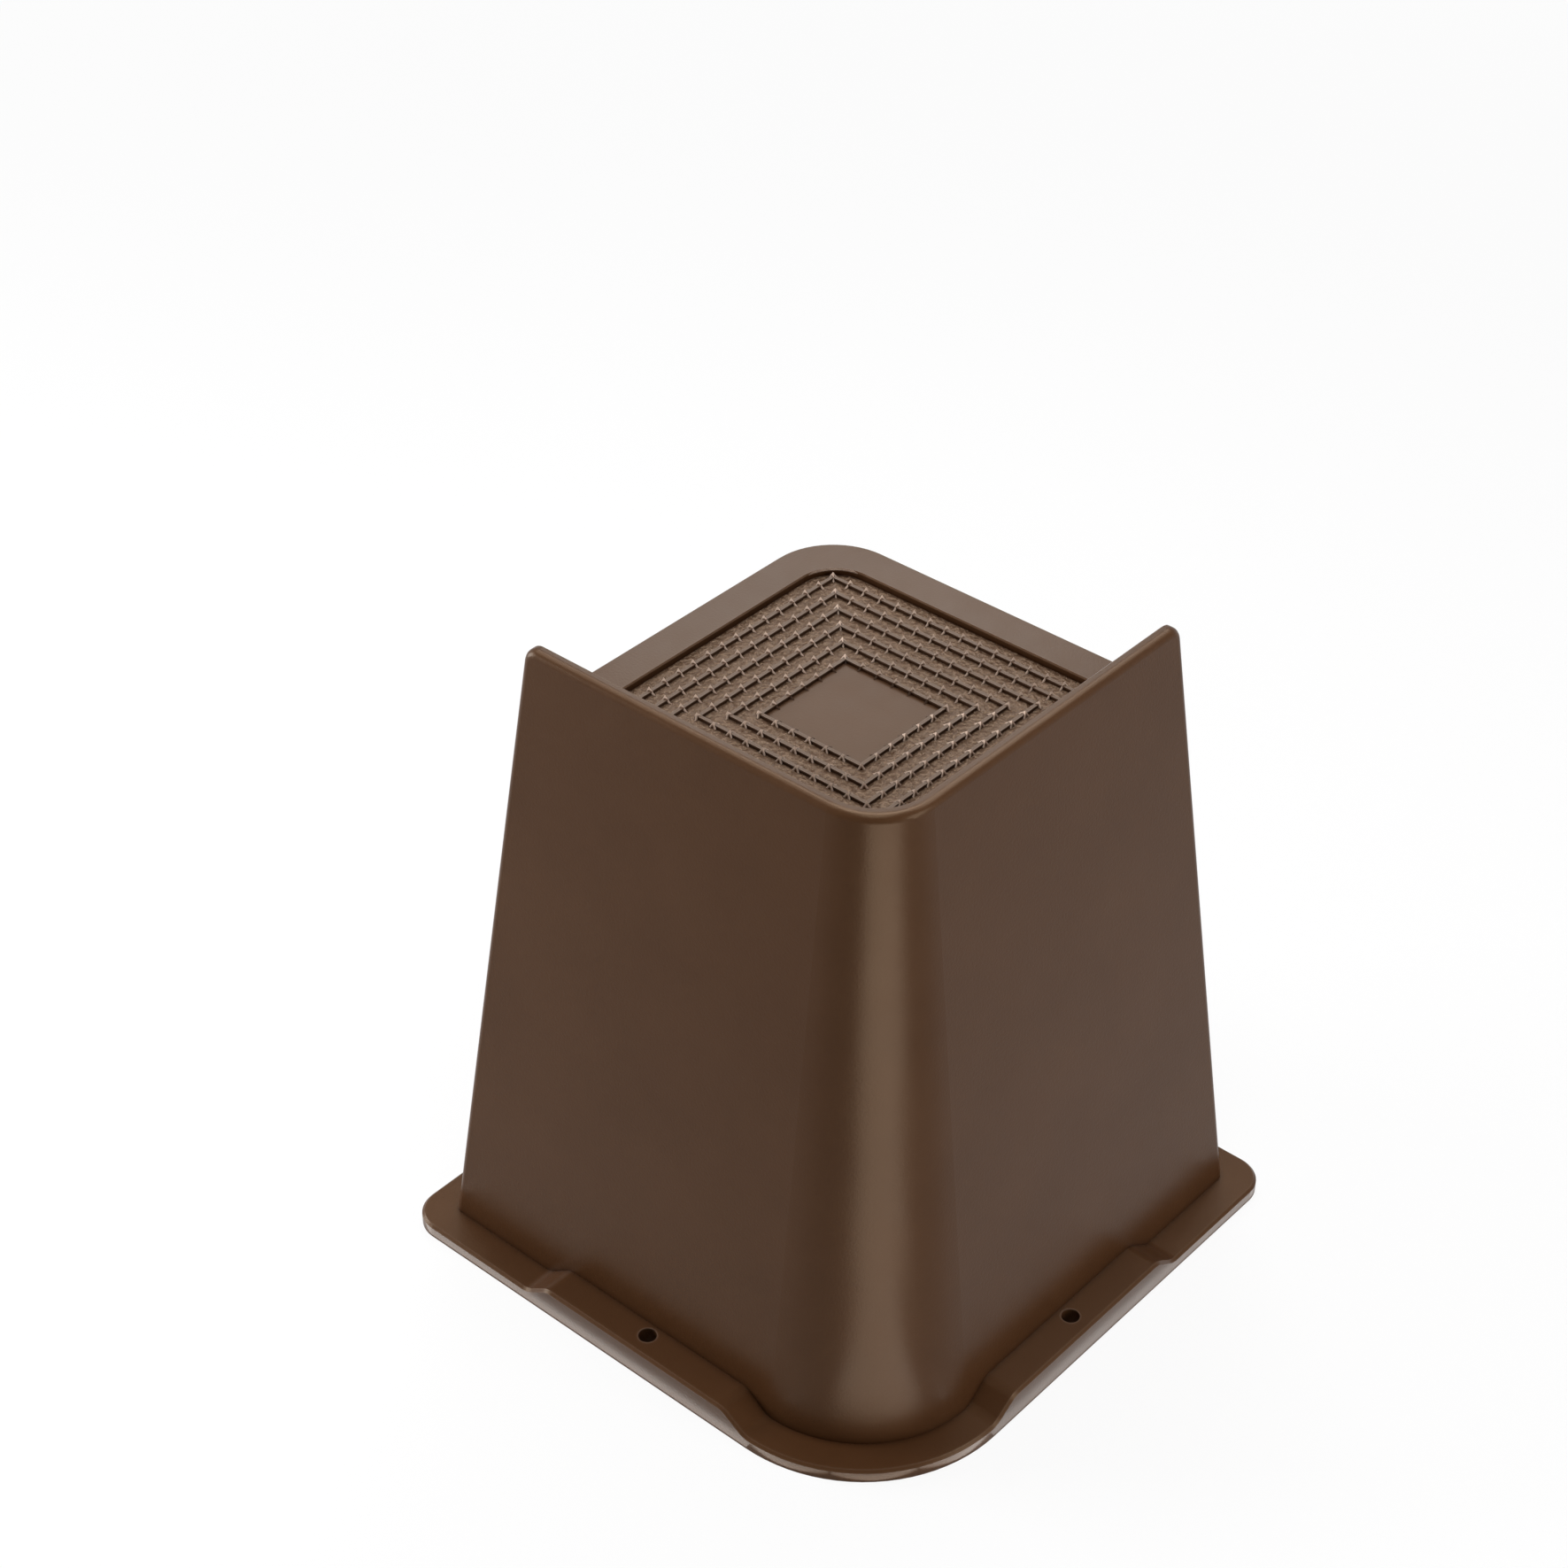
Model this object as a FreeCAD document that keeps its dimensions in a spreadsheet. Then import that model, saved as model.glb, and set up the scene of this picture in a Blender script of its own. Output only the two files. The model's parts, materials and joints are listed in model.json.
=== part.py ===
import FreeCAD, Part
import math
import os
import Sketcher

# A bed riser moulded in one piece: a drafted hollow foot on a flange with four raised screw
# pads, a platform with a sunk tread of rings and rasp teeth, and an L-shaped guard that keeps
# a furniture leg on the platform. The guard's corner points to +X -Y. The floor is z = 0.

# The rings are squares whose half sides are whole numbers of ring pitches.
INNER_STEPS = 3
OUTER_STEPS = 8
SIDE_COUNT = 4

# Driving sizes, in millimetres and degrees.
SIZES = {
    "lift": 152.4,
    "guard_height": 19.1,
    "draft": 5.8,
    "wall": 3.2,
    "deck": 3.6,
    "ring_pitch": 4.88,
    "ring_width": 0.9,
    "ring_height": 0.85,
    "tooth_width": 2.0,
    "tooth_outer": 0.9,
    "tooth_inner": 1.7,
    "tooth_apex": 0.5,
    "tooth_height": 1.7,
    "tread_margin": 4.2,
    "recess_depth": 1.8,
    "recess_round": 10.0,
    "recess_small_round": 5.5,
    "recess_edge": 0.3,
    "guard_rim": 4.8,
    "guard_wall": 5.3,
    "guard_inner_round": 12.5,
    "guard_end_round": 4.0,
    "platform_round": 17.5,
    "seat_edge": 0.5,
    "corner_edge": 2.0,
    "flange_width": 8.0,
    "flange_small_round": 8.5,
    "flange_thickness": 3.5,
    "flange_edge": 0.7,
    "pad_height": 8.0,
    "pad_length": 57.0,
    "ramp_length": 6.8,
    "ramp_round": 5.0,
    "screw_hole": 4.5,
    "screw_inset": 2.5,
    "screw_boss": 9.0,
    "core_wall": 2.8,
    "rib_width": 2.4,
    "rib_depth": 12.0,
    "rib_offset": 18.0,
    "cut_clearance": 2.0,
}

# Sizes that follow from the driving ones.
DERIVED = {
    "lean": "Sizes.lift * tan(Sizes.draft)",
    "recess_half": f"{OUTER_STEPS} * Sizes.ring_pitch + Sizes.tread_margin",
    "guard_inner": "Derived.recess_half + Sizes.guard_rim",
    "platform_half": "Derived.guard_inner + Sizes.guard_wall",
    "body_half": "Derived.platform_half + Derived.lean",
    "body_round": "Sizes.platform_round + Derived.lean",
    "base_half": "Derived.body_half + Sizes.flange_width",
    "base_round": "Derived.body_round + Sizes.flange_width",
    "base_clear": "Derived.base_half + Sizes.cut_clearance",
    "total_height": "Sizes.lift + Sizes.guard_height",
    "guard_top_half": "Derived.body_half - Derived.total_height * tan(Sizes.draft)",
    "cavity_half": "Derived.body_half - Sizes.wall",
    "cavity_round": "Derived.body_round - Sizes.wall",
    "recess_floor": "Sizes.lift - Sizes.recess_depth",
    "tooth_top": "Derived.recess_floor + Sizes.tooth_height",
    "cavity_top": "Derived.recess_floor - Sizes.deck",
    "pad_half": "Sizes.pad_length / 2",
    "ramp_foot": "Derived.pad_half + Sizes.ramp_length",
    "ramp_rise": "Sizes.pad_height - Sizes.flange_thickness",
    "relief_top": "Sizes.pad_height + Sizes.cut_clearance",
    "relief_depth": "Derived.base_clear - Derived.ramp_foot - Sizes.ramp_round",
    "screw_reach": "Derived.body_half + Sizes.screw_inset",
    "core_outer": "Derived.base_half - Sizes.core_wall",
    "core_start": "Sizes.screw_boss / 2",
    "core_end": "Derived.pad_half - Sizes.core_wall",
    "rib_half": "Derived.platform_half - Sizes.wall / 4",
    "rib_near": "Sizes.rib_offset - Sizes.rib_width / 2",
    "rib_far": "Sizes.rib_offset + Sizes.rib_width / 2",
}
for step in range(INNER_STEPS, OUTER_STEPS + 1):
    DERIVED[f"ring_{step}_inner"] = f"{step} * Sizes.ring_pitch - Sizes.ring_width / 2"
    DERIVED[f"ring_{step}_outer"] = f"{step} * Sizes.ring_pitch + Sizes.ring_width / 2"

TOLERANCE = 0.01

# The property that holds the size of each kind of edge.
EDGE_SIZE = {"Fillet": "Radius", "Chamfer": "Size"}

doc = FreeCAD.newDocument("bed_riser")


def add_sheet(name, cells):
    """Write one row per cell, its alias in column A and its content in column B."""
    table = doc.addObject("Spreadsheet::Sheet", name)
    for row, (alias, content) in enumerate(cells.items(), start=1):
        table.set(f"A{row}", alias)
        table.set(f"B{row}", content)
        table.setAlias(f"B{row}", alias)
        doc.recompute()
    return table


sizes_sheet = add_sheet("Sizes", {alias: str(value) for alias, value in SIZES.items()})
derived_sheet = add_sheet("Derived", {alias: f"={rule}" for alias, rule in DERIVED.items()})


def cell(alias):
    """The expression that reads a cell."""
    return f"Sizes.{alias}" if alias in SIZES else f"Derived.{alias}"


def number(alias):
    """The value of a cell."""
    return float(sizes_sheet.get(alias) if alias in SIZES else derived_sheet.get(alias))


def add_body(name):
    """A new body with its own origin."""
    body = doc.addObject("PartDesign::Body", name)
    body.Label = name
    return body


def origin_of(body, role):
    """A plane or an axis of a body's origin, as a link."""
    for feature in body.Origin.OriginFeatures:
        if feature.Role == role:
            return (feature, [""])
    raise KeyError(role)


def add_sketch(body, name, plane="XY_Plane", offset=None):
    """A sketch on an origin plane, moved by the expressions in offset."""
    sketch = body.newObject("Sketcher::SketchObject", name)
    sketch.AttachmentSupport = [origin_of(body, plane)]
    sketch.MapMode = "FlatFace"
    for axis, rule in (offset or {}).items():
        sketch.setExpression(f"AttachmentOffset.{axis}", rule)
    doc.recompute()
    return sketch


def bind(sketch, constraint, rule):
    """Add a constraint whose value follows an expression."""
    index = sketch.addConstraint(constraint)
    sketch.setExpression(f"Constraints[{index}]", rule)


def add_outline(sketch, reach, rounds=None):
    """Draw a rectangle round the sketch's origin, anticlockwise from its front side.

    reach names the distance of each side from the origin, rounds the radius of each rounded
    corner. A corner is named by the side that runs into it.
    """
    rounds = rounds or {}
    order = ["front", "right", "back", "left"]
    far = {side: number(reach[side]) for side in order}
    corner_points = [
        (far["right"], -far["front"]),
        (far["right"], far["back"]),
        (-far["left"], far["back"]),
        (-far["left"], -far["front"]),
    ]
    starts = []
    ends = []
    arcs = []
    for index, side in enumerate(order):
        corner = FreeCAD.Vector(*corner_points[index], 0)
        radius = number(rounds[side]) if side in rounds else 0.0
        turn = math.radians(90 * index)
        along = FreeCAD.Vector(math.cos(turn), math.sin(turn), 0)
        across = FreeCAD.Vector(-math.sin(turn), math.cos(turn), 0)
        ends.append(corner - along * radius)
        starts.append(corner + across * radius)
        centre = corner - along * radius + across * radius
        arcs.append((centre, radius, turn - math.pi / 2))
    lines = []
    for index in range(4):
        segment = Part.LineSegment(starts[index - 1], ends[index])
        lines.append(sketch.addGeometry(segment))
    for index, side in enumerate(order):
        following = lines[(index + 1) % 4]
        if side in rounds:
            centre, radius, angle = arcs[index]
            circle = Part.Circle(centre, FreeCAD.Vector(0, 0, 1), radius)
            arc = sketch.addGeometry(Part.ArcOfCircle(circle, angle, angle + math.pi / 2))
            sketch.addConstraint(Sketcher.Constraint("Tangent", lines[index], 2, arc, 1))
            sketch.addConstraint(Sketcher.Constraint("Tangent", arc, 2, following, 1))
            bind(sketch, Sketcher.Constraint("Radius", arc, radius), cell(rounds[side]))
        else:
            sketch.addConstraint(Sketcher.Constraint("Coincident", lines[index], 2, following, 1))
    for index, (kind, sign) in enumerate((("Y", -1), ("X", 1), ("Y", 1), ("X", -1))):
        side = order[index]
        lie = "Horizontal" if kind == "Y" else "Vertical"
        sketch.addConstraint(Sketcher.Constraint(lie, lines[index]))
        place = Sketcher.Constraint(f"Distance{kind}", -1, 1, lines[index], 1, sign * far[side])
        bind(sketch, place, f"{sign} * {cell(reach[side])}")


def square(alias):
    """The reach of a square round the origin."""
    return {side: alias for side in ("front", "right", "back", "left")}


def two_rounds(alias, small=None):
    """The large radius on the guard's corner and its opposite, the small one on the others."""
    rounds = {"front": alias, "back": alias}
    if small:
        rounds.update({"right": small, "left": small})
    return rounds


def add_polygon(sketch, corners):
    """Draw a closed polygon. Each corner is a pair of (sign, alias), with None for zero."""
    points = []
    for pair in corners:
        values = [0.0 if term is None else term[0] * number(term[1]) for term in pair]
        points.append(FreeCAD.Vector(*values, 0))
    lines = []
    for index, point in enumerate(points):
        following = points[(index + 1) % len(points)]
        lines.append(sketch.addGeometry(Part.LineSegment(point, following)))
    for index, line in enumerate(lines):
        following = lines[(index + 1) % len(lines)]
        sketch.addConstraint(Sketcher.Constraint("Coincident", line, 2, following, 1))
    for line, point, pair in zip(lines, points, corners):
        bind_point(sketch, line, point, pair)


def bind_point(sketch, geometry, point, pair):
    """Hold a geometry's first point at a pair of signed cells, on an axis where one is None."""
    for kind, value, term, axis in zip("XY", (point.x, point.y), pair, (-2, -1)):
        if term is None:
            sketch.addConstraint(Sketcher.Constraint("PointOnObject", geometry, 1, axis))
        else:
            place = Sketcher.Constraint(f"Distance{kind}", -1, 1, geometry, 1, value)
            bind(sketch, place, f"{term[0]} * {cell(term[1])}")


def add_feature(body, kind, name, sketch, rules, turned=False):
    """Pad or pocket a sketch, the other way when turned. rules maps properties to expressions."""
    feature = body.newObject(f"PartDesign::{kind}", name)
    feature.Profile = sketch
    feature.Reversed = turned
    for prop, rule in rules.items():
        feature.setExpression(prop, rule)
    doc.recompute()
    return feature


def add_turns(body, name, original):
    """Repeat a feature on all four sides."""
    pattern = body.newObject("PartDesign::PolarPattern", name)
    pattern.Originals = [original]
    pattern.Axis = origin_of(body, "Z_Axis")
    pattern.Angle = 360
    pattern.Occurrences = SIDE_COUNT
    body.Tip = pattern
    doc.recompute()
    return pattern


def add_draft(body, name, base, chosen, alias):
    """Lean the faces of base for which chosen(face) is true inwards from the floor."""
    names = [f"Face{index}" for index, face in enumerate(base.Shape.Faces, start=1) if chosen(face)]
    draft = body.newObject("PartDesign::Draft", name)
    draft.Base = (base, names)
    draft.NeutralPlane = origin_of(body, "XY_Plane")
    draft.setExpression("Angle", cell(alias))
    doc.recompute()
    return draft


def dress_edges(body, kind, name, base, chosen, alias):
    """Fillet or chamfer the edges of base for which chosen(edge) is true."""
    names = [f"Edge{index}" for index, edge in enumerate(base.Shape.Edges, start=1) if chosen(edge)]
    dressing = body.newObject(f"PartDesign::{kind}", name)
    dressing.Base = (base, names)
    dressing.setExpression(EDGE_SIZE[kind], cell(alias))
    doc.recompute()
    return dressing


def middle(edge):
    """The point half way along an edge."""
    return edge.valueAt((edge.FirstParameter + edge.LastParameter) / 2)


def near(value, target):
    """Whether two lengths agree."""
    return abs(value - target) < TOLERANCE


def level(edge, height):
    """Whether an edge lies flat at a height."""
    return near(edge.BoundBox.ZMin, height) and near(edge.BoundBox.ZMax, height)


def on_square(point, half, radius):
    """Whether a point lies on a square outline with its front right and back left rounded."""
    x, y = point.x, point.y
    centre = half - radius
    if (x > centre and y < -centre) or (x < -centre and y > centre):
        return near(math.hypot(abs(x) - centre, abs(y) - centre), radius)
    return near(max(abs(x), abs(y)), half)


def body_half_at(height):
    """Half the width of the drafted body at a height."""
    return number("body_half") - height * math.tan(math.radians(number("draft")))


def body_round_at(height):
    """The large corner radius of the drafted body at a height."""
    return number("body_round") - height * math.tan(math.radians(number("draft")))


# Flange: a slab of the pads' height, cut down to the flange's thickness past the pads' ramps.

flange = add_body("flange")
slab_sketch = add_sketch(flange, "slab_outline")
add_outline(slab_sketch, square("base_half"), two_rounds("base_round", "flange_small_round"))
slab = add_feature(flange, "Pad", "slab", slab_sketch, {"Length": cell("pad_height")})

relief_sketch = add_sketch(flange, "relief_profile", "XZ_Plane", {"Base.z": cell("base_clear")})
for sign in (1, -1):
    add_polygon(relief_sketch, [
        ((sign, "ramp_foot"), (1, "flange_thickness")),
        ((sign, "base_clear"), (1, "flange_thickness")),
        ((sign, "base_clear"), (1, "relief_top")),
        ((sign, "pad_half"), (1, "relief_top")),
        ((sign, "pad_half"), (1, "pad_height")),
    ])
relief = add_feature(flange, "Pocket", "relief", relief_sketch, {"Length": cell("relief_depth")})
reliefs = add_turns(flange, "reliefs", relief)


def on_ramp(edge):
    """The lines across the flange where a ramp starts and ends."""
    point = middle(edge)
    crown = level(edge, number("pad_height"))
    foot = level(edge, number("flange_thickness"))
    place = min(abs(point.x), abs(point.y))
    return (crown and near(place, number("pad_half"))) or (foot and near(place, number("ramp_foot")))


def on_flange_edge(edge):
    """The flange's upper outer edge, over pads and ramps."""
    above = edge.BoundBox.ZMin > number("flange_thickness") - TOLERANCE
    return above and on_square(middle(edge), number("base_half"), number("base_round"))


ramps = dress_edges(flange, "Fillet", "ramps", reliefs, on_ramp, "ramp_round")
dress_edges(flange, "Chamfer", "flange_edges", ramps, on_flange_edge, "flange_edge")


# Body: a block up to the guard's top, its sides drafted, with the seat cut out of it.

riser = add_body("riser")


def join(name, other):
    """Fuse another body into the riser."""
    fusion = riser.newObject("PartDesign::Boolean", name)
    fusion.setObjects([other])
    fusion.Type = "Fuse"
    doc.recompute()


block_sketch = add_sketch(riser, "block_outline")
add_outline(block_sketch, square("body_half"), two_rounds("body_round"))
block = add_feature(riser, "Pad", "block", block_sketch, {"Length": cell("total_height")})


def on_side(face):
    """The block's sides and rounded corners."""
    return near(face.BoundBox.ZLength, number("total_height"))


add_draft(riser, "sides", block, on_side, "draft")

seat_sketch = add_sketch(riser, "seat_outline", offset={"Base.z": cell("lift")})
seat_reach = {
    "front": "guard_inner",
    "right": "guard_inner",
    "back": "base_clear",
    "left": "base_clear",
}
add_outline(seat_sketch, seat_reach, {"front": "guard_inner_round"})
seat_depth = {"Length": cell("base_half")}
seat = add_feature(riser, "Pocket", "seat", seat_sketch, seat_depth, turned=True)


# Rounded edges of the guard and the open rim.

def on_guard_end(edge):
    """The short top edges at the two ends of the guard."""
    point = middle(edge)
    ends = near(point.x, -number("guard_top_half")) or near(point.y, number("guard_top_half"))
    return level(edge, number("total_height")) and ends


def on_outer_edge(edge):
    """The upright edges beside the guard, joined over the guard's top by its outer edge."""
    point = middle(edge)
    half = body_half_at(point.z)
    if near(edge.BoundBox.ZMin, 0) and edge.BoundBox.ZMax > number("lift"):
        return near(abs(point.x), half) and near(point.x, point.y)
    crown = edge.BoundBox.ZMin > number("total_height") - number("guard_end_round") - TOLERANCE
    return crown and point.x > point.y and on_square(point, half, body_round_at(point.z))


def on_seat_edge(edge):
    """The edges of the seat: the open rim, the guard's inner top edge and its two ends."""
    point = middle(edge)
    guarded = point.x > point.y and on_square(
        point, number("guard_inner"), number("guard_inner_round"))
    if level(edge, number("lift")):
        rim = on_square(point, number("platform_half"), number("platform_round"))
        return rim and not guarded and point.y > point.x
    if level(edge, number("total_height")):
        return guarded
    upright = edge.BoundBox.ZMin > number("lift") - TOLERANCE
    left_end = near(point.x, -body_half_at(point.z)) and near(point.y, -number("guard_inner"))
    right_end = near(point.y, body_half_at(point.z)) and near(point.x, number("guard_inner"))
    return upright and (left_end or right_end)


guard_ends = dress_edges(riser, "Fillet", "guard_ends", seat, on_guard_end, "guard_end_round")
outer_edges = dress_edges(riser, "Fillet", "outer_edges", guard_ends, on_outer_edge, "corner_edge")
dress_edges(riser, "Chamfer", "seat_edges", outer_edges, on_seat_edge, "seat_edge")


# The flange joins the body, and the cavity runs through both: the body's own outline, a wall
# further in and with the same draft, open at the floor.

join("foot", flange)

cavity_sketch = add_sketch(riser, "cavity_outline")
add_outline(cavity_sketch, square("cavity_half"), two_rounds("cavity_round"))
cavity_rules = {"Length": cell("cavity_top"), "TaperAngle": f"-{cell('draft')}"}
add_feature(riser, "Pocket", "cavity", cavity_sketch, cavity_rules, turned=True)


# Underside: ribs below the platform, screw holes, and cores that keep the pads' walls even.

rib_sketch = add_sketch(riser, "rib_outline", offset={"Base.z": cell("cavity_top")})
add_polygon(rib_sketch, [
    ((-1, "rib_half"), (1, "rib_near")),
    ((1, "rib_half"), (1, "rib_near")),
    ((1, "rib_half"), (1, "rib_far")),
    ((-1, "rib_half"), (1, "rib_far")),
])
rib = add_feature(riser, "Pad", "rib", rib_sketch, {"Length": cell("rib_depth")}, turned=True)
add_turns(riser, "ribs", rib)

core_sketch = add_sketch(riser, "core_outline")
for sign in (1, -1):
    add_polygon(core_sketch, [
        ((sign, "core_start"), (-1, "body_half")),
        ((sign, "core_end"), (-1, "body_half")),
        ((sign, "core_end"), (-1, "core_outer")),
        ((sign, "core_start"), (-1, "core_outer")),
    ])
core = add_feature(riser, "Pocket", "core", core_sketch, {"Length": cell("ramp_rise")}, turned=True)
add_turns(riser, "cores", core)

screw_sketch = add_sketch(riser, "screw_outline")
screw_centre = FreeCAD.Vector(0, -number("screw_reach"), 0)
screw_circle = Part.Circle(screw_centre, FreeCAD.Vector(0, 0, 1), number("screw_hole") / 2)
screw_sketch.addGeometry(screw_circle)
screw_sketch.addConstraint(Sketcher.Constraint("PointOnObject", 0, 3, -2))
bind(screw_sketch, Sketcher.Constraint("DistanceY", -1, 1, 0, 3, screw_centre.y),
     f"-{cell('screw_reach')}")
bind(screw_sketch, Sketcher.Constraint("Diameter", 0, number("screw_hole")), cell("screw_hole"))
screw = add_feature(riser, "Pocket", "screw", screw_sketch, {"Length": cell("relief_top")}, turned=True)
add_turns(riser, "screws", screw)


# Recess for the tread, sunk into the platform.

recess_sketch = add_sketch(riser, "recess_outline", offset={"Base.z": cell("lift")})
add_outline(recess_sketch, square("recess_half"), two_rounds("recess_round", "recess_small_round"))
recess = add_feature(riser, "Pocket", "recess", recess_sketch, {"Length": cell("recess_depth")})


def on_recess_edge(edge):
    """The recess's upper edge: all level edges at the rim that lie inside the guard's rim."""
    point = middle(edge)
    inside = max(abs(point.x), abs(point.y)) < number("recess_half") + TOLERANCE
    return level(edge, number("lift")) and inside


dress_edges(riser, "Chamfer", "recess_edges", recess, on_recess_edge, "recess_edge")


# Tread: square rings on the recess floor, with a rasp tooth at every pitch of every ring.

ring_sketch = add_sketch(riser, "ring_outlines", offset={"Base.z": cell("recess_floor")})
for step in range(INNER_STEPS, OUTER_STEPS + 1):
    add_outline(ring_sketch, square(f"ring_{step}_inner"))
    add_outline(ring_sketch, square(f"ring_{step}_outer"))
add_feature(riser, "Pad", "rings", ring_sketch, {"Length": cell("ring_height")})

teeth = add_body("teeth")
teeth.AllowCompound = True


def add_tooth(name, offset):
    """A three-sided tooth: its wide face looks out of the ring, its ridge runs down inwards."""
    foot = add_sketch(teeth, f"{name}_foot", offset={**offset, "Base.z": cell("recess_floor")})
    add_polygon(foot, [
        ((-0.5, "tooth_width"), (-1, "tooth_outer")),
        ((0.5, "tooth_width"), (-1, "tooth_outer")),
        (None, (1, "tooth_inner")),
    ])
    tip = add_sketch(teeth, f"{name}_tip", offset={**offset, "Base.z": cell("tooth_top")})
    apex = FreeCAD.Vector(0, -number("tooth_apex"), 0)
    bind_point(tip, tip.addGeometry(Part.Point(apex)), apex, (None, (-1, "tooth_apex")))
    doc.recompute()
    tooth = teeth.newObject("PartDesign::AdditiveLoft", name)
    tooth.Profile = foot
    tooth.Sections = [tip]
    tooth.Ruled = True
    tooth.Refine = False
    doc.recompute()
    return tooth


def add_rows(name, tooth, direction, length, count):
    """Repeat a tooth along a direction, and the row on all four sides."""
    rows = teeth.newObject("PartDesign::MultiTransform", name)
    row = teeth.newObject("PartDesign::LinearPattern", f"{name}_row")
    row.Direction = direction
    row.setExpression("Length", length)
    row.Occurrences = count
    turn = teeth.newObject("PartDesign::PolarPattern", f"{name}_turn")
    turn.Axis = origin_of(teeth, "Z_Axis")
    turn.Angle = 360
    turn.Occurrences = SIDE_COUNT
    rows.Originals = [tooth]
    rows.Transformations = [row, turn]
    rows.Refine = False
    teeth.Tip = rows
    doc.recompute()


for step in range(INNER_STEPS, OUTER_STEPS + 1):
    side_tooth = add_tooth(f"tooth_{step}", {
        "Base.x": f"-{step - 1} * Sizes.ring_pitch",
        "Base.y": f"-{step} * Sizes.ring_pitch",
    })
    row_length = f"{2 * (step - 1)} * Sizes.ring_pitch"
    add_rows(f"teeth_{step}", side_tooth, origin_of(teeth, "X_Axis"), row_length, 2 * step - 1)

# The corner teeth look out along the diagonal, and repeat along it from ring to ring.
corner_tooth = add_tooth("corner_tooth", {
    "Base.x": f"-{OUTER_STEPS} * Sizes.ring_pitch",
    "Base.y": f"-{OUTER_STEPS} * Sizes.ring_pitch",
    "Rotation.Yaw": "-45",
})
diagonal = (doc.getObject("corner_tooth_foot"), ["V_Axis"])
diagonal_length = f"{OUTER_STEPS - INNER_STEPS} * sqrt(2) * Sizes.ring_pitch"
add_rows("corner_teeth", corner_tooth, diagonal, diagonal_length, OUTER_STEPS - INNER_STEPS + 1)

join("tread", teeth)


# The finished piece is checked before it is written.

for item in doc.Objects:
    if "Invalid" in item.State or "Error" in item.State:
        raise RuntimeError(f"{item.Name} failed: {item.State}")
if riser.Shape.isNull() or not riser.Shape.isValid() or len(riser.Shape.Solids) != 1:
    raise RuntimeError("the riser is not one valid solid")

os.makedirs("parts", exist_ok=True)
riser.Shape.exportStep(f"parts/{riser.Label}.step")
print(f"{riser.Label}: {riser.Shape.Volume / 1000:.1f} cm3")
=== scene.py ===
import json
import math

import bpy
from mathutils import Matrix, Vector


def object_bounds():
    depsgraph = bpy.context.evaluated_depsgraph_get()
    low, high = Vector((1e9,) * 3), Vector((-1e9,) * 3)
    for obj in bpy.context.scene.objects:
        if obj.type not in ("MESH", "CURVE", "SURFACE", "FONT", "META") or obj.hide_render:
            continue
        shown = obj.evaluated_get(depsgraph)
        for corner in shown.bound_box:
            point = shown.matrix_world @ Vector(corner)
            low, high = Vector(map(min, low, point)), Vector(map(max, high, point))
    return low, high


# A one-piece bed riser in brown moulded plastic on a plain white floor. Lengths are in metres.

# Camera: its direction from the object, its place and its lens in millimetres.
CAMERA_AZIMUTH = 40.89
CAMERA_ELEVATION = 36.545
CAMERA_ROLL = 0.393
CAMERA_DISTANCE = 0.7285
CAMERA_TARGET = (-0.0177, -0.00292, 0.1238)
CAMERA_LENS = 72.41
SENSOR_WIDTH = 36.0
CLIP_NEAR = 0.01
CLIP_FAR = 50.0

# Plastic: a brown whose tone changes slowly.
BROWN = (0.0568, 0.0235, 0.0092)
BROWN_LIGHT = (0.0600, 0.0252, 0.0101)
BROWN_DARK = (0.0536, 0.0218, 0.0083)
TONE_SIZE = 0.03
TONE_DETAIL = 3.0

# Painted highlights: light edges painted into the colour of the teeth, with a small share of them on
# all other edges. The last two values are how open a flat face and a sharp edge are.
EDGE_HIGHLIGHT_TAN = (0.68, 0.52, 0.42)
EDGE_REACH = 0.00055
EDGE_SHARE = 0.09
EDGE_FLAT = 0.96
EDGE_SHARP = 0.60

# Painted shade: dark corners painted into the colour. The last two values are how open a corner is
# where it starts and ends to darken.
PAINTED_SHADE_BROWN = (0.010, 0.0025, 0.0005)
DEEP_REACH = 0.0022
DEEP_START = 0.82
DEEP_END = 0.42
PROBE_SAMPLES = 4

# Satin gloss, rougher on the smooth square of the tread.
GLOSS_LEVEL = 0.14
GLOSS_TINT = (1.0, 0.77, 0.52)
ROUGHNESS_LOW = 0.28
ROUGHNESS_HIGH = 0.33
SQUARE_ROUGHER = 0.10
SATIN_SIZE = 0.008
SATIN_DETAIL = 4.0

# Moulded grain, coarser and lighter on the tread's floor.
GRAIN_SIZE = 0.0006
GRAIN_DETAIL = 2.0
GRAIN_DEPTH = 0.00003
TREAD_TAN = (0.20, 0.127, 0.083)
TREAD_TAN_LOW = 0.05
TREAD_TAN_HIGH = 0.9
TREAD_GRAIN_SIZE = 0.0013
TREAD_GRAIN_DETAIL = 3.0
TREAD_GRAIN_DEPTH = 0.0009

# Noise: its roughness, and the part of its range that is used.
NOISE_ROUGHNESS = 0.55
NOISE_LOW = 0.3
NOISE_MIDDLE = 0.5
NOISE_HIGH = 0.7

# Tread: the half sides of its recess and of the smooth square in the middle, the rings' pitch and
# half their width. Then depths below the rim: just above the teeth, just above the rings' tops, and
# just above and below the tread's floor.
RECESS_HALF = 0.0431
SMOOTH_HALF = 0.01419
RING_PITCH = 0.00488
RING_HALF = 0.00048
TEETH_DROP = 0.000018
RING_DROP = 0.0009025
FLOOR_DROP = 0.001746
FLOOR_DROP_END = 0.00198

# Floor and even light. The floor glows fully from FAR_END on, and not within SHADE_RADIUS.
WHITE = (1.0, 1.0, 1.0, 1.0)
FLOOR_SIZE = 12.0
FLOOR_SHADE = 0.86
FLOOR_GLOW = 0.88
FAR_START = 0.25
FAR_END = 1.2
SHADE_RADIUS = 0.0745
AMBIENT = 0.10

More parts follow.
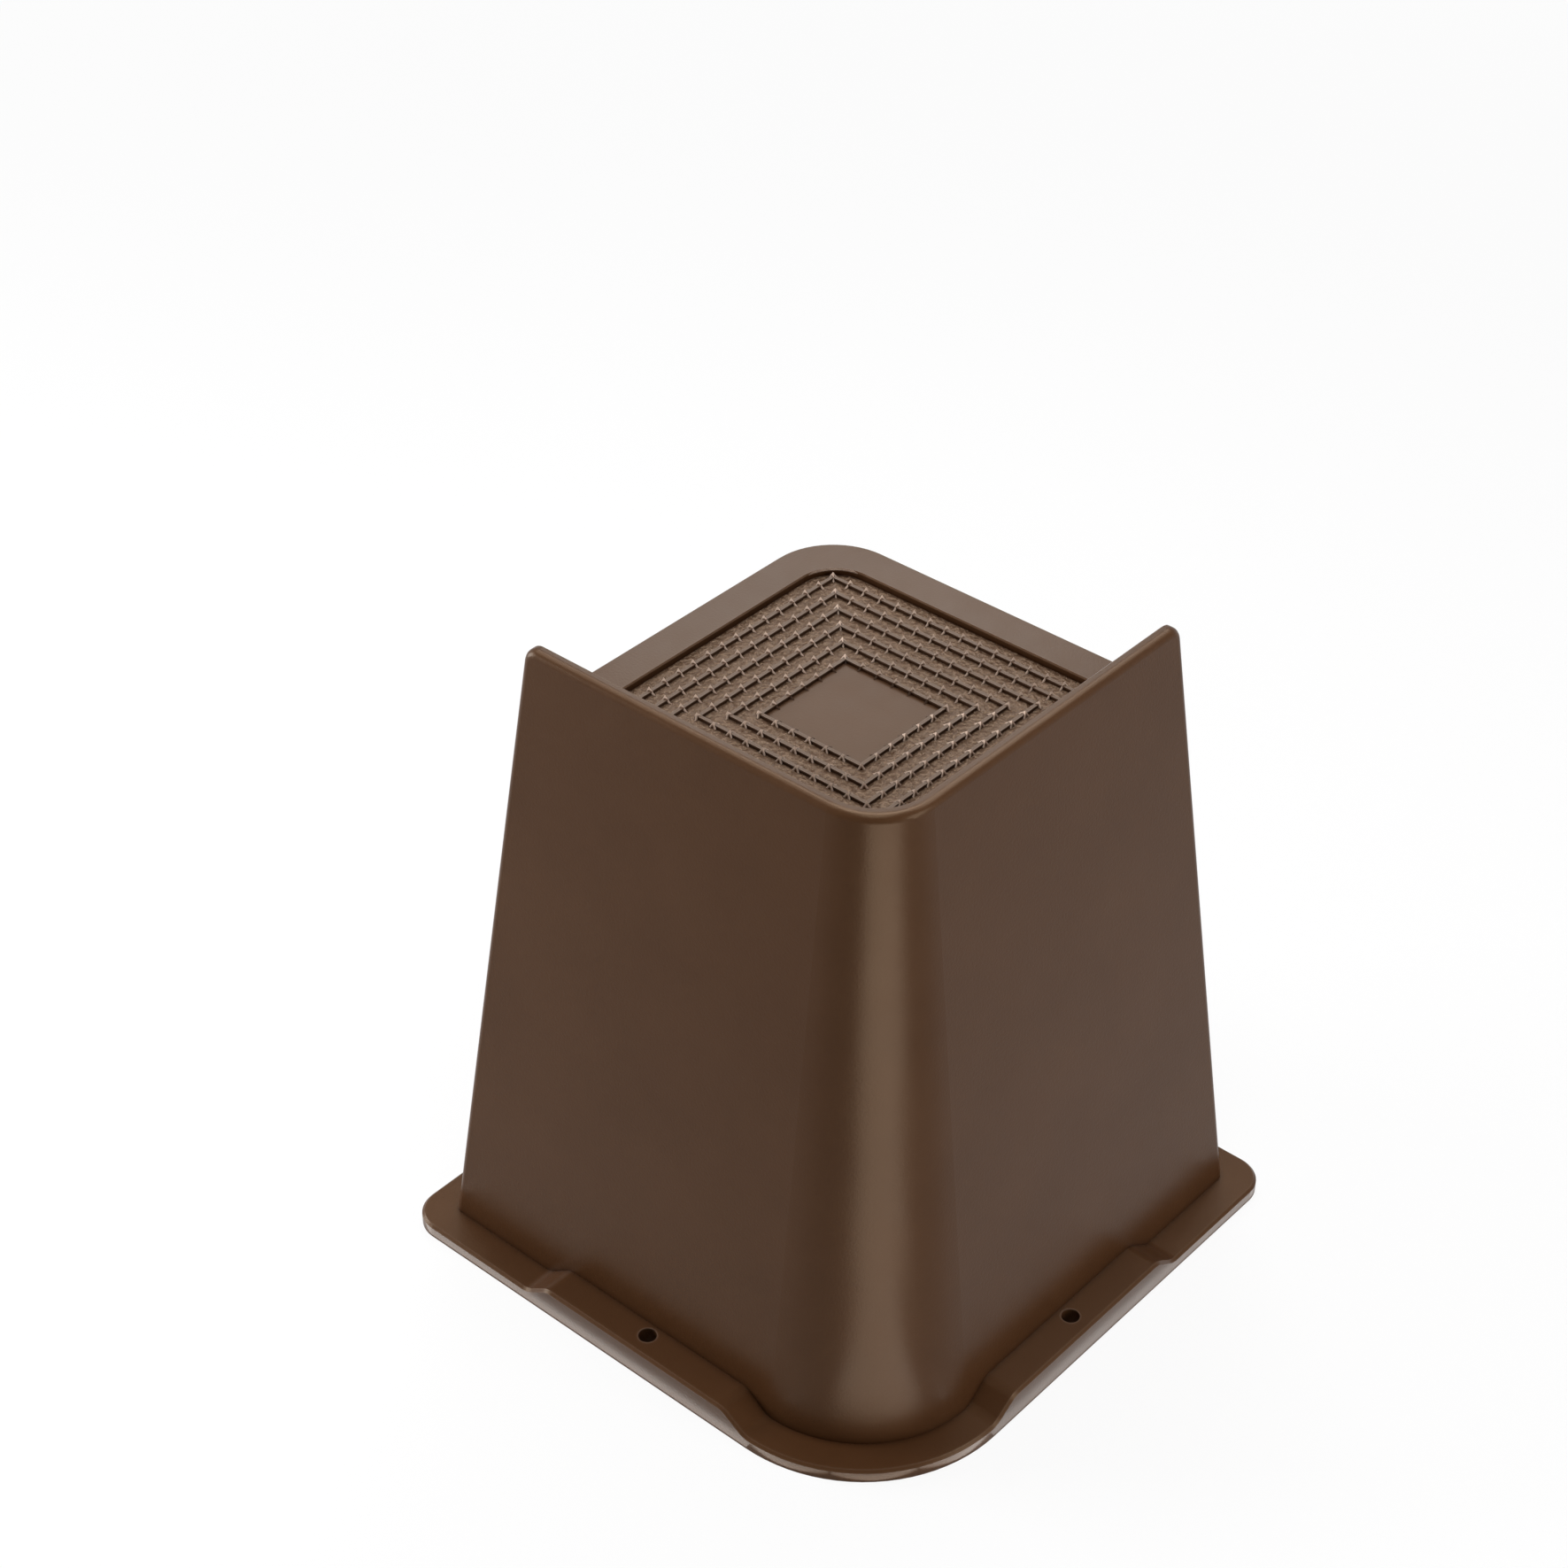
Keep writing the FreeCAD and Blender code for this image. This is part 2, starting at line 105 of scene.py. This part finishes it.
# Softboxes that face the object's middle: azimuth, elevation, distance, width, height, and
# brightness with 1 for white.
SOFTBOXES = {
    "left": (-60.0, 12.0, 0.75, 0.35, 0.35, 13.8),
    "right": (98.0, 14.0, 0.75, 0.35, 0.35, 7.5),
    "front": (40.0, 74.0, 1.0, 0.40, 0.40, 9.0),
    "back": (220.5, 41.0, 0.493, 0.22, 0.17, 5.3),
    "top": (221.0, 72.0, 1.2, 0.60, 0.60, 3.2),
}
# The same, for softboxes that only show in the gloss.
GLOSS_BOXES = {
    "back_left": (275.0, 55.0, 1.0, 0.75, 0.36, 6.2),
    "back_right": (167.0, 55.0, 1.0, 0.75, 0.36, 8.8),
    "overhead": (221.0, 76.0, 1.0, 0.60, 0.50, 11.5),
}
# Bright cards on the floor that only show in the gloss: azimuth, start and end from the object's
# axis, sideways place, width and brightness.
FLOOR_CARDS = {
    "card_left_edge": (0.0, 0.0769, 0.0788, -0.020, 0.112, 4.8),
    "card_right_edge": (90.0, 0.0769, 0.0788, 0.020, 0.112, 2.2),
    "card_front_left": (15.0, 0.0851, 0.0870, 0.0253, 0.0215, 6.6),
    "card_front": (45.0, 0.0918, 0.0937, 0.0, 0.0215, 6.6),
    "card_front_right": (75.0, 0.0851, 0.0870, -0.0253, 0.0215, 6.6),
    "card_corner_1": (55.0, 0.096, 0.15, -0.014, 0.045, 4.7),
    "card_corner_2": (55.0, 0.15, 0.23, -0.014, 0.10, 5.1),
    "card_corner_3": (55.0, 0.23, 0.36, -0.014, 0.20, 6.4),
    "card_corner_4": (55.0, 0.36, 0.50, -0.014, 0.33, 8.8),
}
CARD_HEIGHT = 0.0004

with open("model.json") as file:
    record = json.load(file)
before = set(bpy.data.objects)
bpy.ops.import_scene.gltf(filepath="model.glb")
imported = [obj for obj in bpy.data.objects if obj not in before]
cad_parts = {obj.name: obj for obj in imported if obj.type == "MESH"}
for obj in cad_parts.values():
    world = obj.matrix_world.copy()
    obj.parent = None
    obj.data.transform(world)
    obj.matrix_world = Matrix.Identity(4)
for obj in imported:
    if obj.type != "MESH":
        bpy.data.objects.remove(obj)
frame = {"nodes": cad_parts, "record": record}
cad_low, cad_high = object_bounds()


def direction(azimuth, elevation):
    """The unit vector from the object towards a viewer or a lamp."""
    turn = math.radians(azimuth)
    rise = math.radians(elevation)
    return Vector((
        math.sin(turn) * math.cos(rise),
        -math.cos(turn) * math.cos(rise),
        math.sin(rise),
    ))


def add_camera():
    """The camera that looks down on the guard's corner."""
    data = bpy.data.cameras.new("camera")
    data.lens = CAMERA_LENS
    data.sensor_width = SENSOR_WIDTH
    data.clip_start = CLIP_NEAR
    data.clip_end = CLIP_FAR
    camera = bpy.data.objects.new("camera", data)
    bpy.context.scene.collection.objects.link(camera)
    back = direction(CAMERA_AZIMUTH, CAMERA_ELEVATION)
    look = (-back).to_track_quat("-Z", "Y").to_matrix().to_4x4()
    roll = Matrix.Rotation(math.radians(CAMERA_ROLL), 4, "Z")
    place = Matrix.Translation(Vector(CAMERA_TARGET) + back * CAMERA_DISTANCE)
    camera.matrix_world = place @ look @ roll
    bpy.context.scene.camera = camera


def new_material(name):
    """An empty node material: its tree and its output node."""
    material = bpy.data.materials.new(name)
    material.use_nodes = True
    tree = material.node_tree
    tree.nodes.clear()
    output = tree.nodes.new("ShaderNodeOutputMaterial")
    return material, tree, output


def add_node(tree, kind, **values):
    """A node with its input sockets set by name, spaces written as underscores."""
    node = tree.nodes.new(kind)
    for name, value in values.items():
        node.inputs[name.replace("_", " ")].default_value = value
    return node


def add_math(tree, operation, first, second):
    """A math node on two sockets or numbers."""
    node = tree.nodes.new("ShaderNodeMath")
    node.operation = operation
    for socket, value in zip(node.inputs, (first, second)):
        if isinstance(value, (int, float)):
            socket.default_value = value
        else:
            tree.links.new(value, socket)
    return node.outputs[0]


def add_noise(tree, place, size, detail):
    """Noise whose features are about size across."""
    noise = add_node(
        tree, "ShaderNodeTexNoise", Scale=1.0 / size, Detail=detail, Roughness=NOISE_ROUGHNESS)
    tree.links.new(place, noise.inputs["Vector"])
    return noise.outputs["Fac"]


def add_range(tree, value, low, high):
    """Noise spread over low to high."""
    spread = add_node(
        tree, "ShaderNodeMapRange", From_Min=NOISE_LOW, From_Max=NOISE_HIGH, To_Min=low, To_Max=high)
    tree.links.new(value, spread.inputs["Value"])
    return spread.outputs["Result"]


def add_bump(tree, height, depth, normal=None):
    """Bump of a given depth, on top of another normal."""
    bump = add_node(tree, "ShaderNodeBump", Strength=1.0, Distance=depth)
    tree.links.new(height, bump.inputs["Height"])
    if normal is not None:
        tree.links.new(normal, bump.inputs["Normal"])
    return bump.outputs["Normal"]


def add_reach(tree, place):
    """How far a point lies from the upright axis, as half the side of a square round it."""
    apart = tree.nodes.new("ShaderNodeSeparateXYZ")
    tree.links.new(place, apart.inputs["Vector"])
    across = add_math(tree, "ABSOLUTE", apart.outputs["X"], 0.0)
    along = add_math(tree, "ABSOLUTE", apart.outputs["Y"], 0.0)
    return add_math(tree, "MAXIMUM", across, along)


def add_band(tree, value, low, high):
    """One where a value lies between two limits, and zero elsewhere."""
    above = add_math(tree, "GREATER_THAN", value, low)
    return add_math(tree, "MULTIPLY", above, add_math(tree, "LESS_THAN", value, high))


def platform_height():
    """The height of the platform's rim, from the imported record."""
    mounts = {mount["name"]: mount for mount in frame["record"]["mounts"]}
    return mounts["platform"]["pos_m"][2]


def tread_masks(tree, place):
    """Three masks: the tread's floor between the rings, the teeth, and the smooth square."""
    apart = tree.nodes.new("ShaderNodeSeparateXYZ")
    tree.links.new(place, apart.inputs["Vector"])
    drop = add_math(tree, "SUBTRACT", platform_height(), apart.outputs["Z"])
    reach = add_reach(tree, place)
    ringed = add_band(tree, reach, SMOOTH_HALF, RECESS_HALF)
    lowest = add_band(tree, drop, FLOOR_DROP, FLOOR_DROP_END)
    raised = add_band(tree, drop, TEETH_DROP, FLOOR_DROP)
    above = add_math(tree, "LESS_THAN", drop, RING_DROP)
    from_ring = add_math(tree, "PINGPONG", reach, RING_PITCH / 2)
    beside = add_math(tree, "GREATER_THAN", from_ring, RING_HALF)
    toothed = add_math(tree, "MULTIPLY", raised, add_math(tree, "MAXIMUM", above, beside))
    return (
        add_math(tree, "MULTIPLY", ringed, lowest),
        add_math(tree, "MULTIPLY", ringed, toothed),
        add_math(tree, "MULTIPLY", add_math(tree, "LESS_THAN", reach, SMOOTH_HALF), lowest),
    )


def add_probe(tree, reach, inside, low, high):
    """How closely a point is hemmed in within a reach: zero at low and one at high."""
    probe = add_node(tree, "ShaderNodeAmbientOcclusion", Distance=reach)
    probe.inside = inside
    probe.only_local = True
    probe.samples = PROBE_SAMPLES
    spread = add_node(tree, "ShaderNodeMapRange", From_Min=low, From_Max=high, To_Min=0.0, To_Max=1.0)
    tree.links.new(probe.outputs["AO"], spread.inputs["Value"])
    return spread.outputs["Result"]


def add_mix(tree, share, first, second):
    """A colour blended towards a second colour by a share."""
    mix = tree.nodes.new("ShaderNodeMixRGB")
    mix.inputs["Color2"].default_value = (*second, 1.0)
    tree.links.new(share, mix.inputs["Fac"])
    tree.links.new(first, mix.inputs["Color1"])
    return mix.outputs["Color"]


def plastic():
    """Satin brown plastic with a fine moulded grain, coarser on the tread's floor; painted highlights
    on edges, painted shade in corners.
    """
    material, tree, output = new_material("riser_plastic")
    place = tree.nodes.new("ShaderNodeTexCoord").outputs["Object"]
    tint = (*GLOSS_TINT, 1.0)
    shader = add_node(
        tree, "ShaderNodeBsdfPrincipled", Specular_IOR_Level=GLOSS_LEVEL, Specular_Tint=tint)

    tone = tree.nodes.new("ShaderNodeValToRGB")
    tone.color_ramp.elements[0].position = NOISE_LOW
    tone.color_ramp.elements[0].color = (*BROWN_DARK, 1.0)
    tone.color_ramp.elements[1].position = NOISE_HIGH
    tone.color_ramp.elements[1].color = (*BROWN_LIGHT, 1.0)
    middle = tone.color_ramp.elements.new(NOISE_MIDDLE)
    middle.color = (*BROWN, 1.0)
    tree.links.new(add_noise(tree, place, TONE_SIZE, TONE_DETAIL), tone.inputs["Fac"])
    tread_floor, teeth, square = tread_masks(tree, place)
    coarse = add_noise(tree, place, TREAD_GRAIN_SIZE, TREAD_GRAIN_DETAIL)
    lightness = add_range(tree, coarse, TREAD_TAN_LOW, TREAD_TAN_HIGH)
    speckle = add_math(tree, "MULTIPLY", tread_floor, lightness)
    speckled = add_mix(tree, speckle, tone.outputs["Color"], TREAD_TAN)
    # Painted shade: hemmed-in corners and crevices darkened towards a deep brown.
    corner_shade = add_probe(tree, DEEP_REACH, False, DEEP_START, DEEP_END)
    shaded = add_mix(tree, corner_shade, speckled, PAINTED_SHADE_BROWN)
    # Painted highlight: convex edges lightened towards tan, fully on the teeth and by a small share
    # elsewhere.
    edge = add_probe(tree, EDGE_REACH, True, EDGE_FLAT, EDGE_SHARP)
    strength = add_math(tree, "MAXIMUM", teeth, EDGE_SHARE)
    edge_highlighted = add_mix(tree, add_math(tree, "MULTIPLY", edge, strength), shaded, EDGE_HIGHLIGHT_TAN)
    tree.links.new(edge_highlighted, shader.inputs["Base Color"])

    satin_noise = add_noise(tree, place, SATIN_SIZE, SATIN_DETAIL)
    satin = add_range(tree, satin_noise, ROUGHNESS_LOW, ROUGHNESS_HIGH)
    rougher = add_math(tree, "MULTIPLY", square, SQUARE_ROUGHER)
    tree.links.new(add_math(tree, "ADD", satin, rougher), shader.inputs["Roughness"])

    grain = add_noise(tree, place, GRAIN_SIZE, GRAIN_DETAIL)
    fine = add_bump(tree, grain, GRAIN_DEPTH)
    masked = add_math(tree, "MULTIPLY", coarse, tread_floor)
    tree.links.new(add_bump(tree, masked, TREAD_GRAIN_DEPTH, fine), shader.inputs["Normal"])

    tree.links.new(shader.outputs["BSDF"], output.inputs["Surface"])
    return material


def seen_directly(tree):
    """One for camera, glossy and transmission rays."""
    path = tree.nodes.new("ShaderNodeLightPath").outputs
    mirrored = add_math(tree, "MAXIMUM", path["Is Glossy Ray"], path["Is Transmission Ray"])
    return add_math(tree, "MAXIMUM", path["Is Camera Ray"], mirrored)


def add_floor():
    """A white floor that keeps the object's shadow and is dark under it."""
    bpy.ops.mesh.primitive_plane_add(size=FLOOR_SIZE)
    floor = bpy.context.object
    floor.name = "floor"
    material, tree, output = new_material("floor_white")
    matt = add_node(tree, "ShaderNodeBsdfDiffuse", Color=(FLOOR_SHADE, FLOOR_SHADE, FLOOR_SHADE, 1.0))
    glow = add_node(tree, "ShaderNodeEmission", Color=WHITE, Strength=1.0)
    mix = tree.nodes.new("ShaderNodeMixShader")
    place = tree.nodes.new("ShaderNodeTexCoord").outputs["Object"]
    measure = tree.nodes.new("ShaderNodeVectorMath")
    measure.operation = "LENGTH"
    tree.links.new(place, measure.inputs["Vector"])
    from_axis = measure.outputs["Value"]
    clear = add_math(tree, "GREATER_THAN", from_axis, SHADE_RADIUS)
    away = add_node(
        tree, "ShaderNodeMapRange", From_Min=FAR_START, From_Max=FAR_END, To_Min=FLOOR_GLOW, To_Max=1.0)
    tree.links.new(from_axis, away.inputs["Value"])
    glowing = add_math(tree, "MULTIPLY", clear, away.outputs["Result"])
    tree.links.new(add_math(tree, "MULTIPLY", seen_directly(tree), glowing), mix.inputs["Fac"])
    tree.links.new(matt.outputs["BSDF"], mix.inputs[1])
    tree.links.new(glow.outputs["Emission"], mix.inputs[2])
    tree.links.new(mix.outputs["Shader"], output.inputs["Surface"])
    floor.data.materials.append(material)


def add_world():
    """Even light from all round, shown as white."""
    world = bpy.data.worlds.new("studio")
    world.use_nodes = True
    tree = world.node_tree
    tree.nodes.clear()
    output = tree.nodes.new("ShaderNodeOutputWorld")
    ambient = add_node(tree, "ShaderNodeBackground", Color=WHITE, Strength=AMBIENT)
    shown = add_node(tree, "ShaderNodeBackground", Color=WHITE, Strength=1.0)
    mix = tree.nodes.new("ShaderNodeMixShader")
    tree.links.new(seen_directly(tree), mix.inputs["Fac"])
    tree.links.new(ambient.outputs["Background"], mix.inputs[1])
    tree.links.new(shown.outputs["Background"], mix.inputs[2])
    tree.links.new(mix.outputs["Shader"], output.inputs["Surface"])
    bpy.context.scene.world = world


def add_lamp(name, width, height, brightness, gloss_only):
    """A rectangular lamp that the camera doesn't see."""
    data = bpy.data.lights.new(name, "AREA")
    data.shape = "RECTANGLE"
    data.size = width
    data.size_y = height
    data.energy = math.pi * brightness * width * height
    lamp = bpy.data.objects.new(name, data)
    bpy.context.scene.collection.objects.link(lamp)
    lamp.visible_camera = False
    lamp.visible_diffuse = not gloss_only
    return lamp


def add_softboxes(boxes, gloss_only):
    """Softboxes that face the object's middle."""
    middle = (cad_low + cad_high) / 2
    for name, (azimuth, elevation, distance, width, height, brightness) in boxes.items():
        away = direction(azimuth, elevation)
        face = (-away).to_track_quat("-Z", "Y").to_matrix().to_4x4()
        lamp = add_lamp(name, width, height, brightness, gloss_only)
        lamp.matrix_world = Matrix.Translation(middle + away * distance) @ face


def add_floor_cards():
    """Cards that lie on the floor, run away from the object and face up."""
    for name, (azimuth, start, end, aside, width, brightness) in FLOOR_CARDS.items():
        lamp = add_lamp(name, width, end - start, brightness, True)
        outwards = direction(azimuth, 0.0) * ((start + end) / 2)
        place = outwards + direction(azimuth + 90.0, 0.0) * aside + Vector((0.0, 0.0, CARD_HEIGHT))
        turn = Matrix.Rotation(math.radians(azimuth), 4, "Z") @ Matrix.Rotation(math.pi, 4, "X")
        lamp.matrix_world = Matrix.Translation(place) @ turn


bpy.context.scene.view_settings.view_transform = "Standard"
add_world()
add_floor()
add_softboxes(SOFTBOXES, False)
add_softboxes(GLOSS_BOXES, True)
add_floor_cards()
add_camera()
riser = frame["nodes"]["riser"]
riser.data.materials.clear()
riser.data.materials.append(plastic())
